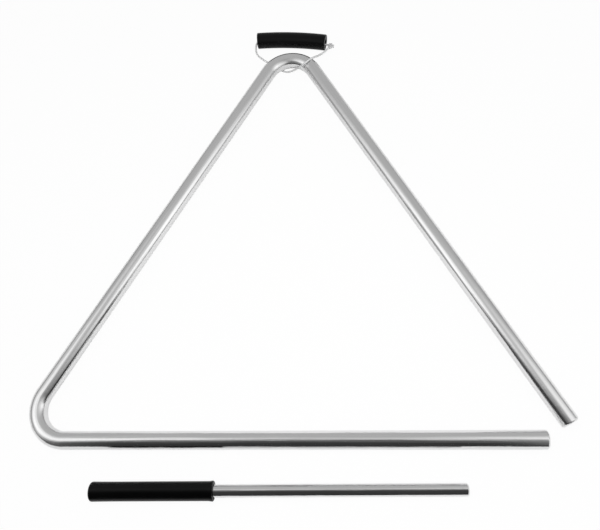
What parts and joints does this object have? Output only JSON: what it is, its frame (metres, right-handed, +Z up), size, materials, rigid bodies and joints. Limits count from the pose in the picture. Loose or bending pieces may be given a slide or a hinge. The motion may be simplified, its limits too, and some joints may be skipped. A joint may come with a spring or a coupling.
{
  "type": "percussion triangle with beater",
  "caption": "Percussion triangle bent from round steel bar and open at one corner, with a line loop and black finger tube at the top bend, and a straight steel beater with a black grip.",
  "frame": {"origin": "on the table, under the middle of the footprint of the triangle, finger tube and beater", "axes": "+X along the bottom bar towards the open corner, +Y from the bottom bar towards the top bend, +Z up from the table"},
  "size_m": [0.2428, 0.2482, 0.0106],
  "materials": {
    "bright_steel": "bright plated, polished",
    "black_vinyl": "soft vinyl, satin to semi-gloss",
    "clear_nylon": "clear nylon line"
  },
  "bodies": {
    "triangle": {"triangle_bar": "bright_steel"},
    "loop": {"line_round_bar": "clear_nylon"},
    "handle": {"line_left": "clear_nylon", "line_right": "clear_nylon", "line_in_tube": "clear_nylon", "line_knot": "clear_nylon"},
    "tube": {"hanger_tube": "black_vinyl"},
    "beater": {"beater_rod": "bright_steel", "beater_grip": "black_vinyl"}
  },
  "joints": [
    {"name": "loop_swing", "type": "hinge", "parent": "triangle", "child": "loop", "pos_m": [-0.00283, 0.08974, 0.00517], "axis": [0, -0.0062, 1], "range_deg": [-25, 25]},
    {"name": "hanger_fold", "type": "hinge", "parent": "loop", "child": "handle", "pos_m": [-0.00283, 0.10394, 0.00526], "axis": [1, 0, 0], "range_deg": [-125, 125], "deforming": ["line_left", "line_right"]},
    {"name": "tube_spin", "type": "hinge", "parent": "handle", "child": "tube", "pos_m": [-0.02198, 0.11983, 0.00425], "axis": [0.9947, -0.1028, 0], "continuous": true},
    {"name": "beater_lift", "type": "slide", "parent": "triangle", "child": "beater", "axis": [0, 0, 1], "range_m": [0, 0.1]}
  ]
}
